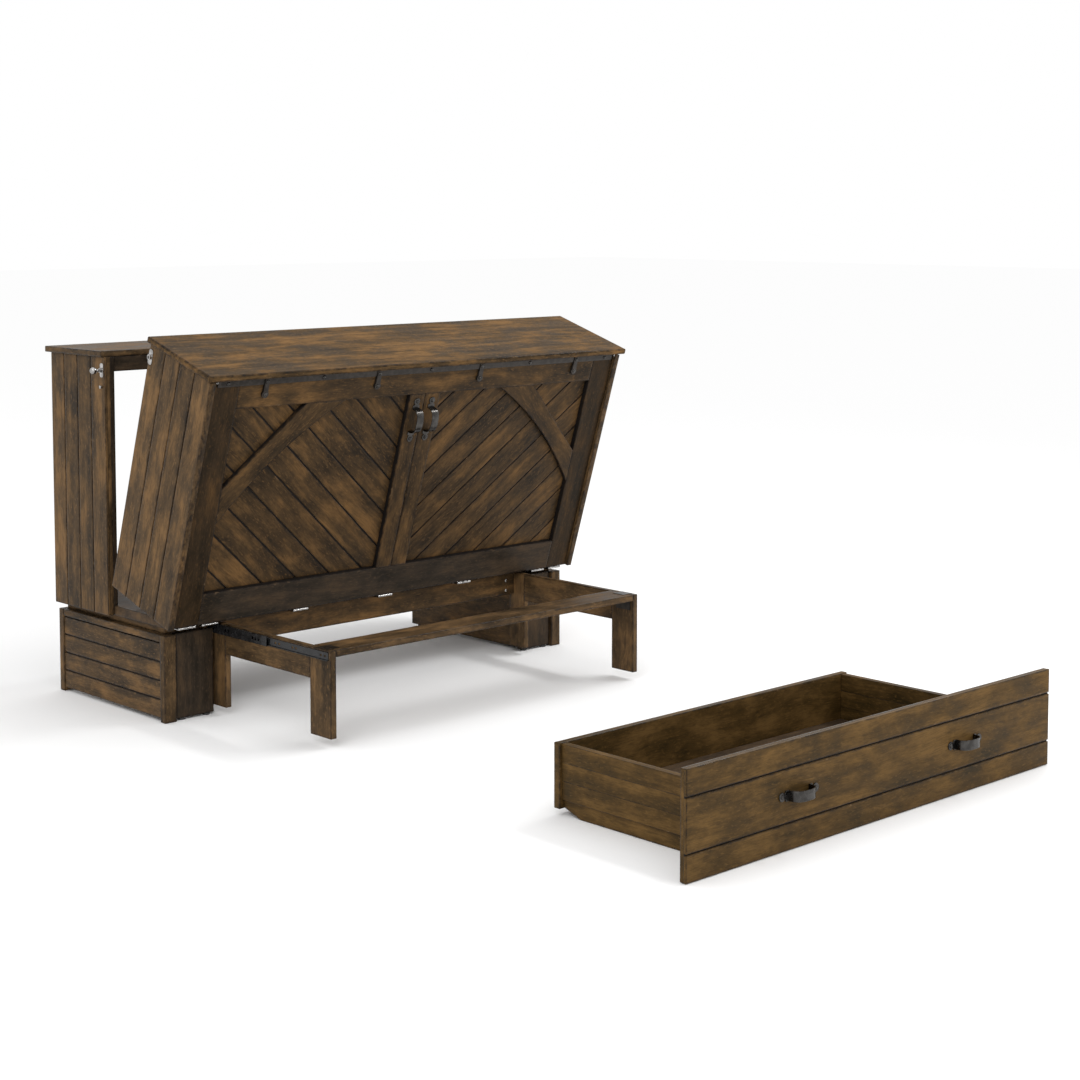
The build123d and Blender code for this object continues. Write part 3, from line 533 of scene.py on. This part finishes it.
# ---------------------------------------------------------------- chevron planks
# Sloping planks fill the doors behind the framing, rising outwards from the centre.  Each
# has its own grain, and a thin layer painted near-black, glazing and painted shade, is seen at the foot of
# the narrow joints.
PLANK_SLOPE = math.atan(0.886)
PLANK_STEP = 0.1115
PLANK_START = 0.008
PLANK_BED = 0.001                # near-black layer seen at the foot of each joint: glazing and painted shade
CHEVRON_EASE = 0.0008
CHEVRON_BAND = 0.0035
SMALLEST_PLANK = 0.020           # slivers in the corners are left out


def cut_back(outline, normal, limit):
    """The part of a convex outline where the distance along normal is at most limit."""
    kept = []
    for p, q in zip(outline, outline[1:] + outline[:1]):
        a, b = np.dot(p, normal) - limit, np.dot(q, normal) - limit
        if a <= 0:
            kept.append(p)
        if a * b < 0:
            kept.append(tuple(np.array(p) + (np.array(q) - np.array(p)) * a / (a - b)))
    return kept


for name, sign in (("chevron_panel_right", 1), ("chevron_panel_left", -1)):
    low, high = upright(name)
    across = np.array([-math.sin(PLANK_SLOPE), math.cos(PLANK_SLOPE)])
    opening = [(CENTRE_EDGE, PANEL_FOOT), (PANEL_EDGE, PANEL_FOOT),
               (PANEL_EDGE, PANEL_HEAD), (CENTRE_EDGE, PANEL_HEAD)]
    parts = []
    for i in range(-7, 9):
        lower = (PLANK_START + i * PLANK_STEP) * across[1] + GROOVE / 2
        upper = (PLANK_START + (i + 1) * PLANK_STEP) * across[1] - GROOVE / 2
        outline = cut_back(cut_back(opening, -across, -lower), across, upper)
        if len(outline) < 3:
            continue
        corners = np.array(outline)
        if min(np.ptp(corners[:, 0]), np.ptp(corners[:, 1])) < SMALLEST_PLANK:
            continue
        parts.append(mapped(sawn(corners, PLANK_BED - high[1], -low[1], ease=CHEVRON_EASE, band=CHEVRON_BAND,
                                 heading=PLANK_SLOPE), FACING))
    # The bed behind the planks is painted near-black on its face: glazing and painted shade.
    bed = board((CENTRE_EDGE, high[1] - PLANK_BED, PANEL_FOOT), (PANEL_EDGE, high[1], PANEL_HEAD), 0)
    parts.append(glazing_and_shade_face(bed, 1, -1))
    flip = np.diag([sign, 1, 1])
    made(name.replace("panel", "planks"), [mapped(p, flip) for p in parts], shade_painted_face_walnut, "box", [name],
         tipped)

# ---------------------------------------------------------------- sham barn-door rail
# A flat black iron bar is bolted along the top rail, and four straps hang over it, each
# ending in a round pad with a domed bolt, as if the doors slid on it.


def ironwork(name, colour, metallic, rough, scratch=0.12):
    """Painted or plated metal: a faint mottle, fine bumps, and roughness that wanders."""
    material, tree, shader = blank(name)
    place = add(tree, "ShaderNodeTexCoord", {}).outputs["Object"]

    def at(scale, detail):
        noise = add(tree, "ShaderNodeTexNoise", {"Vector": place, "Scale": scale, "Detail": detail})
        return noise.outputs["Fac"]

    soft, fine = at(60.0, 4.0), at(900.0, 3.0)
    tree.links.new(blended(tree, fade(tree, soft, 0.35, 0.7), [c * 0.75 for c in colour],
                           [min(1, c * 1.35) for c in colour]), shader.inputs["Base Color"])
    tree.links.new(fade(tree, soft, 0.3, 0.7, rough - 0.07, rough + 0.1), shader.inputs["Roughness"])
    bump = add(tree, "ShaderNodeBump", {"Height": fine, "Strength": scratch, "Distance": 0.0002})
    tree.links.new(bump.outputs["Normal"], shader.inputs["Normal"])
    shader.inputs["Metallic"].default_value = metallic
    return material


iron = ironwork("black_iron", (0.034, 0.029, 0.025), 0.7, 0.38)
pull_steel = ironwork("dark_pull_steel", (0.058, 0.055, 0.052), 1.0, 0.25)


def turned(radii, heights, centre, axis, around=24):
    """A lathe shape: each radius at its height swung round the axis, closed by small flat ends."""
    angle = np.linspace(0, 2 * math.pi, around, endpoint=False)
    r, h = np.array(radii)[:, None], np.array(heights)[:, None]
    points = np.empty((len(radii), around, 3))
    sign = 1 if axis > 0 else -1
    main = abs(axis) - 1
    points[..., (main + 1) % 3] = r * np.cos(angle)
    points[..., (main + 2) % 3] = r * np.sin(angle)
    points[..., main] = sign * h
    points = points.reshape(-1, 3)
    faces = tube_faces(len(radii), around)
    faces = [f[::-1] for f in faces] if sign < 0 else faces
    return part(points + np.array(centre), faces, np.zeros(len(points)), points)


def dome(centre, radius, rise, axis, seat=0.0015):
    """A domed head: a short straight skirt, then a quarter ellipse up to a small flat."""
    turn = np.linspace(0, math.radians(84), 7)
    radii = np.r_[radius * 0.94, radius, radius * np.cos(turn)]
    heights = np.r_[-seat, -seat + 0.0002, rise * np.sin(turn)]
    return turned(radii, heights, centre, axis)


low, high = upright("barn_rail")
IRON_EASE = 0.0008
made("iron_rail", [board(low, high, 0, ease=IRON_EASE)], iron, "box", ["barn_rail"], tipped, 40)
RAIL_FRONT, RAIL_MIDDLE = low[1], (low[2] + high[2]) / 2
BOLT_RADIUS = 0.006
RAIL_BOLT_RISE = 0.004
STRAP_BOLT_RISE = 0.0035
RAIL_BOLT_X = (-0.745, -0.410, 0, 0.410, 0.745)
HANGER_X = (-0.613, -0.204, 0.204, 0.613)
made("rail_bolt_heads", [dome((x, RAIL_FRONT, RAIL_MIDDLE), BOLT_RADIUS, RAIL_BOLT_RISE, -2)
                         for x in RAIL_BOLT_X],
     pull_steel, "box", ["rail_bolts"], tipped)
low, high = upright("rail_hangers")
STRAP_HALF = 0.008
PAD_RADIUS = 0.0112
STRAP_THICK = 0.003
STRAP_EASE = 0.0006
STRAP_BAND = 0.001
PACKER_EASE = 0.0004             # the packer fills the space behind the strap, under the rail
PACKER_TOP = 0.0105              # below the rail's middle
PACKER_LAP = 0.0005
STRAP_FRONT = RAIL_FRONT - STRAP_THICK
PAD_HEIGHT = low[2] + PAD_RADIUS
turn = np.radians(np.linspace(136, 404, 25))
straps, bolts = [], []
for x in HANGER_X:
    pad = np.stack([x + PAD_RADIUS * np.cos(turn), PAD_HEIGHT + PAD_RADIUS * np.sin(turn)], 1)
    outline = np.concatenate([[(x + STRAP_HALF, high[2]), (x - STRAP_HALF, high[2])], pad])
    straps.append(mapped(sawn(outline, -RAIL_FRONT, -STRAP_FRONT, ease=STRAP_EASE, band=STRAP_BAND), FACING))
    head = RAIL_MIDDLE - PACKER_TOP
    below = np.concatenate([[(x + STRAP_HALF, head), (x - STRAP_HALF, head)], pad])
    packer = sawn(below, 0, -RAIL_FRONT + PACKER_LAP, ease=PACKER_EASE, band=STRAP_BAND)
    straps.append(mapped(packer, FACING))
    bolts += [dome((x, STRAP_FRONT, z), BOLT_RADIUS, STRAP_BOLT_RISE, -2) for z in (PAD_HEIGHT, RAIL_MIDDLE)]
made("strap_hangers", straps, iron, "box", ["rail_hangers"], tipped, 40)
made("strap_bolt_heads", bolts, pull_steel, "box", ["rail_hangers"], tipped)

# ---------------------------------------------------------------- strap pulls
# Bent from flat bar: a round foot at each end held by a domed screw, a narrow neck, then a
# wider strap that bows out to take the fingers.  Two stand on the doors and two on the drawer.
PULL_HALF = 0.072
PULL_PROUD = 0.034
PULL_THICK = 0.003
PULL_HALF_WIDTH = 0.013
FOOT_RADIUS = 0.011
NECK_HALF_WIDTH = 0.0065
FOOT_LENGTH = 0.034


def strap_pull():
    """A flat bar's section carried along the pull's centre line: straight feet, then a bow that
    follows a superellipse.  Half its width follows the round foot, dips at the neck and widens."""
    feet = np.linspace(0, FOOT_LENGTH, 28)
    span_half = PULL_HALF - FOOT_LENGTH
    turn = np.linspace(0, math.pi, 57)
    power = 0.72
    bow_u = -span_half * np.sign(np.cos(turn)) * np.abs(np.cos(turn)) ** power
    bow_v = PULL_THICK / 2 + (PULL_PROUD - PULL_THICK) * np.sin(turn) ** power
    u = np.r_[-PULL_HALF + feet[:-1], bow_u, PULL_HALF - feet[::-1][1:]]
    v = np.r_[np.full(len(feet) - 1, PULL_THICK / 2), bow_v, np.full(len(feet) - 1, PULL_THICK / 2)]
    reach = PULL_HALF - np.abs(u)
    round_foot = np.sqrt(np.clip(FOOT_RADIUS ** 2 - (reach - FOOT_RADIUS) ** 2, 0.0012 ** 2, None))
    neck = NECK_HALF_WIDTH + (PULL_HALF_WIDTH - NECK_HALF_WIDTH) * np.clip((reach - 0.021) / 0.003, 0, 1)
    half = np.where(reach < FOOT_RADIUS, round_foot, np.maximum(round_foot, neck))
    line = np.stack([u, v], 1)
    ahead = np.gradient(line, axis=0)
    ahead /= np.linalg.norm(ahead, axis=1)[:, None]
    out = np.stack([-ahead[:, 1], ahead[:, 0]], 1)
    t, e = PULL_THICK / 2, 0.0007
    across = np.stack([half, half, half - e, e - half, -half, -half, e - half, half - e], 1)
    rise = np.array([e - t, t - e, t, t, t - e, e - t, -t, -t])
    points = np.empty((len(u), 8, 3))
    points[..., :2] = line[:, None, :] + out[:, None, :] * rise[None, :, None]
    points[..., 2] = across
    points = points.reshape(-1, 3)
    faces = [face[::-1] for face in tube_faces(len(u), 8)]
    return part(points, faces, np.zeros(len(points)), points)


UPRIGHT_PULL = [[0, 0, 1], [0, -1, 0], [1, 0, 0]]    # along z, out of the face, across x
LEVEL_PULL = [[1, 0, 0], [0, -1, 0], [0, 0, 1]]      # along x, out of the front, across z
SCREW_IN = PULL_HALF - FOOT_RADIUS
SCREW_RADIUS = 0.0058
SCREW_RISE = 0.0038
low, high = upright("door_pulls")
DOOR_PULL_X, DOOR_PULL_Z = high[0] - PULL_HALF_WIDTH, (low[2] + high[2]) / 2
door_places = (-DOOR_PULL_X, DOOR_PULL_X)
made("door_strap_pulls", [mapped(strap_pull(), UPRIGHT_PULL, (x, 0, DOOR_PULL_Z)) for x in door_places],
     pull_steel, "box", ["door_pulls"], tipped, 40)
made("door_pull_screw_heads", [dome((x, -PULL_THICK, DOOR_PULL_Z + z), SCREW_RADIUS, SCREW_RISE, -2)
                               for x in door_places for z in (-SCREW_IN, SCREW_IN)],
     pull_steel, "box", ["door_pull_screws"], tipped)
low, high = span("drawer_pulls")
PULL_Z, PULL_FOOT_Y = (low[2] + high[2]) / 2, high[1]
pull_places = (low[0] + PULL_HALF, high[0] - PULL_HALF)
made("drawer_strap_pulls", [mapped(strap_pull(), LEVEL_PULL, (x, PULL_FOOT_Y, PULL_Z)) for x in pull_places],
     pull_steel, "drawer", ["drawer_pulls"], None, 40)
made("drawer_pull_screw_heads", [dome((x + u, PULL_FOOT_Y - PULL_THICK, PULL_Z), SCREW_RADIUS, SCREW_RISE, -2)
                                 for x in pull_places for u in (-SCREW_IN, SCREW_IN)],
     pull_steel, "drawer", ["drawer_pull_screws"])

# ---------------------------------------------------------------- lid and foot board
# The lid is a wide solid board with rounded edges that swings up at the foot of the bed, and
# the plywood foot board folds out from beneath it.
LID_EASE = 0.004
lid_walnut = stained_wood("lid_walnut", (0.024, 0.015, 0.007), (0.074, 0.045, 0.020), (0.200, 0.108, 0.040),
                          mottle=0.6, gloss=0.04)
made("lid_top", [board(*upright("lid_board"), 0, ease=LID_EASE)], lid_walnut, "lid", ["lid_board"],
     tipped)
made("folding_foot_board", [board(*upright("foot_leaf"), 0)], plywood, "foot_leaf", ["foot_leaf"],
     tipped)

# ---------------------------------------------------------------- pull-out support frame
# Flat legs, side aprons, a rear cross rail under the hinge line and a wide front board that
# the opened box rests on.  It hangs from its slides, just clear of the floor.
LEG_THICK = 0.020
FRONT_BOARD_EASE = 0.002
for node, name, along in (("frame_front_legs", "front_legs", 2), ("frame_rear_legs", "rear_legs", 2),
                          ("frame_aprons", "side_aprons", 1)):
    one_each_side(node, name, along, LEG_THICK, walnut, "frame")
# The rear cross rail, under the tipped box, takes the face walnut with its painted shade.
made("rear_cross_rail", [board(*span("frame_rear_rail"), 0)], shade_painted_face_walnut, "frame", ["frame_rear_rail"])
made("front_support_board", [board(*span("frame_front_board"), 0, ease=FRONT_BOARD_EASE)], walnut, "frame",
     ["frame_front_board"])

# ---------------------------------------------------------------- drawer
# A grooved front of three boards, wide enough to cover the base opening, with a lower box
# behind it: sides of glued staves, a full back, a plywood bottom, and runners under the
# sides that are cut back at the rear.
drawer_wood = stained_wood("drawer_walnut", (0.028, 0.018, 0.006), (0.068, 0.038, 0.011),
                           (0.140, 0.078, 0.024))
low, high = span("drawer_front")
cuts = [low[2] + share * (high[2] - low[2]) - GROOVE / 2 for share in (0.25, 0.75)]
made("drawer_front_boards", planked(low, high, 1, -1, 2, 0, cuts), drawer_wood, "drawer", ["drawer_front"])
SIDE_THICK = 0.019
low, high = span("drawer_sides")
STAVES = 3
STAVE_EASE = 0.0005
STAVE_BAND = 0.002
levels = np.linspace(low[2], high[2], STAVES + 1)
staves = [board((x, low[1], z0), (x + SIDE_THICK, high[1], z1), 1, ease=STAVE_EASE, band=STAVE_BAND)
          for x in (low[0], high[0] - SIDE_THICK) for z0, z1 in zip(levels[:-1], levels[1:])]
made("drawer_side_boards", staves,
     drawer_wood, "drawer", ["drawer_sides"])
made("drawer_back_board", [board(*span("drawer_back"), 0)], drawer_wood, "drawer", ["drawer_back"])
made("drawer_bottom_board", [board(*span("drawer_bottom"), 0)], plywood, "drawer", ["drawer_bottom"])
RUNNER_WIDTH = 0.024
CUT_LENGTH = 0.060
CUT_RISE = 0.020
low, high = span("drawer_runners")
outline = [(low[1], low[2]), (high[1] - CUT_LENGTH, low[2]), (high[1], low[2] + CUT_RISE),
           (high[1], high[2]), (low[1], high[2])]
skid_places = (low[0], high[0] - RUNNER_WIDTH)
made("drawer_skids", [mapped(sawn(outline, x, x + RUNNER_WIDTH), ENDWAYS) for x in skid_places],
     drawer_wood, "drawer", ["drawer_runners"])

# ---------------------------------------------------------------- latches
# A spring plunger with a ball grip slides in a collared plate on each side of the rear
# cabinet, and drops into a cupped keeper on the box.  All are bright zinc-plated steel.
zinc = ironwork("bright_zinc", (0.40, 0.39, 0.38), 1.0, 0.22, 0.05)
BALL_RADIUS = 0.011
ROD_RADIUS = 0.0035
ROD_BEVEL = 0.0001
ROD_BEVEL_LENGTH = 0.0003
for node, body, sign in (("latch_plunger_right", "latch_right", 1),
                         ("latch_plunger_left", "latch_left", -1)):
    low, high = span(node)
    middle = (low + high) / 2
    reach = high[0] - low[0]
    turn = np.linspace(math.radians(154), math.radians(4), 19)
    ball = reach - BALL_RADIUS
    radii = np.r_[ROD_RADIUS - ROD_BEVEL, ROD_RADIUS, BALL_RADIUS * np.sin(turn)]
    heights = np.r_[0, ROD_BEVEL_LENGTH, ball + BALL_RADIUS * np.cos(turn)]
    start = low[0] if sign > 0 else high[0]
    rod = turned(radii, heights, (start, middle[1], middle[2]), sign, 32)
    made(node.replace("latch_", "") + "_rod", [rod], zinc, body, [node])

# ---------------------------------------------------------------- feet and frame bolts
# Turned nylon glides keep the base off the floor; capped bolts hold the frame's rear rail.
nylon = ironwork("black_nylon", (0.020, 0.020, 0.020), 0.0, 0.55)
low, high = span("frame_rail_bolts")
CAP_RADIUS = 0.0055
CAP_RISE = 0.0025
made("rail_bolt_caps", [dome((x, high[1], z), CAP_RADIUS, CAP_RISE, -2, seat=0.0)
                        for x in (low[0] + CAP_RADIUS, high[0] - CAP_RADIUS)
                        for z in (low[2] + CAP_RADIUS, high[2] - CAP_RADIUS)],
     zinc, "frame", ["frame_rail_bolts"])

# ---------------------------------------------------------------- steel kept from the model
# Hinges, brackets, plates and ball-bearing slides are pressed and rolled to exact sizes, so
# they stay as designed and take only their finish.
slide_black = ironwork("black_slide_steel", (0.022, 0.022, 0.023), 0.5, 0.2)
finishes = {
    zinc: ["hinge_fixed_leaves", "hinge_moving_leaves", "hinge_pins", "lid_pivot_pins", "lid_pivot_brackets",
           "foot_hinge_fixed", "foot_hinge_moving", "latch_plates", "latch_keepers", "strike_pins"],
    iron: ["frame_corner_brackets"],
    slide_black: ["slide_outer", "slide_middle", "slide_inner"],
    nylon: ["base_glides"],
}
for material, nodes in finishes.items():
    for node in nodes:
        slots = frame["nodes"][node].data.materials
        slots.clear()
        slots.append(material)

# ---------------------------------------------------------------- floor, light and camera
# A plain pale floor under even studio light, with large soft sources to the left and in
# front and a long narrow one on the right for the edges.  The camera stands at about head
# height off the cabinet's left front corner.
FLOOR_HALF = 40.0
floor_mesh = bpy.data.meshes.new("floor")
floor_mesh.from_pydata([(x, y, -0.0006) for x, y in ((-FLOOR_HALF, -FLOOR_HALF), (FLOOR_HALF, -FLOOR_HALF),
                                                     (FLOOR_HALF, FLOOR_HALF), (-FLOOR_HALF, FLOOR_HALF))],
                       [], [(0, 1, 2, 3)])
pale, _, pale_shader = blank("pale_floor")
pale_shader.inputs["Base Color"].default_value = (0.98, 0.98, 0.98, 1)
pale_shader.inputs["Roughness"].default_value = 0.9
pale_shader.inputs["Specular IOR Level"].default_value = 0.0
floor_mesh.materials.append(pale)
floor = bpy.data.objects.new("floor", floor_mesh)
bpy.context.scene.collection.objects.link(floor)

world = bpy.data.worlds.new("studio")
world.use_nodes = True
world.node_tree.nodes["Background"].inputs["Color"].default_value = (1, 1, 1, 1)
world.node_tree.nodes["Background"].inputs["Strength"].default_value = 1.0
bpy.context.scene.world = world
bpy.context.scene.view_settings.view_transform = "Standard"


def soft_light(name, place, aim, size, watts, height=None):
    """An area light at a place, turned to face a point; square unless it is given a height."""
    data = bpy.data.lights.new(name, "AREA")
    data.size, data.energy = size, watts
    if height:
        data.shape, data.size_y = "RECTANGLE", height
    light = bpy.data.objects.new(name, data)
    light.location = place
    light.rotation_mode = "QUATERNION"
    light.rotation_quaternion = (Vector(aim) - Vector(place)).to_track_quat("-Z", "Y")
    bpy.context.scene.collection.objects.link(light)


soft_light("key", (-4.5, -2.5, 4.2), (0, 0, 0.5), 2.5, 60)
soft_light("front", (1.5, -5.5, 2.6), (0, -0.3, 0.4), 3.0, 25)
soft_light("edge", (3.0, -1.0, 3.8), (0, -0.3, 0.9), 3.0, 70, 0.25)

LENS = 68.152
HEADING = math.radians(43.292)           # to the right of straight at the wall
PITCH = math.radians(4.470)
camera_data = bpy.data.cameras.new("camera")
camera_data.lens, camera_data.sensor_width = LENS, 36
camera_data.shift_y = -0.16
camera = bpy.data.objects.new("camera", camera_data)
camera.location = (-4.0207, -4.2980, 1.5015)
camera.rotation_euler = (math.pi / 2 - PITCH, 0, -HEADING)
bpy.context.scene.collection.objects.link(camera)
bpy.context.scene.camera = camera
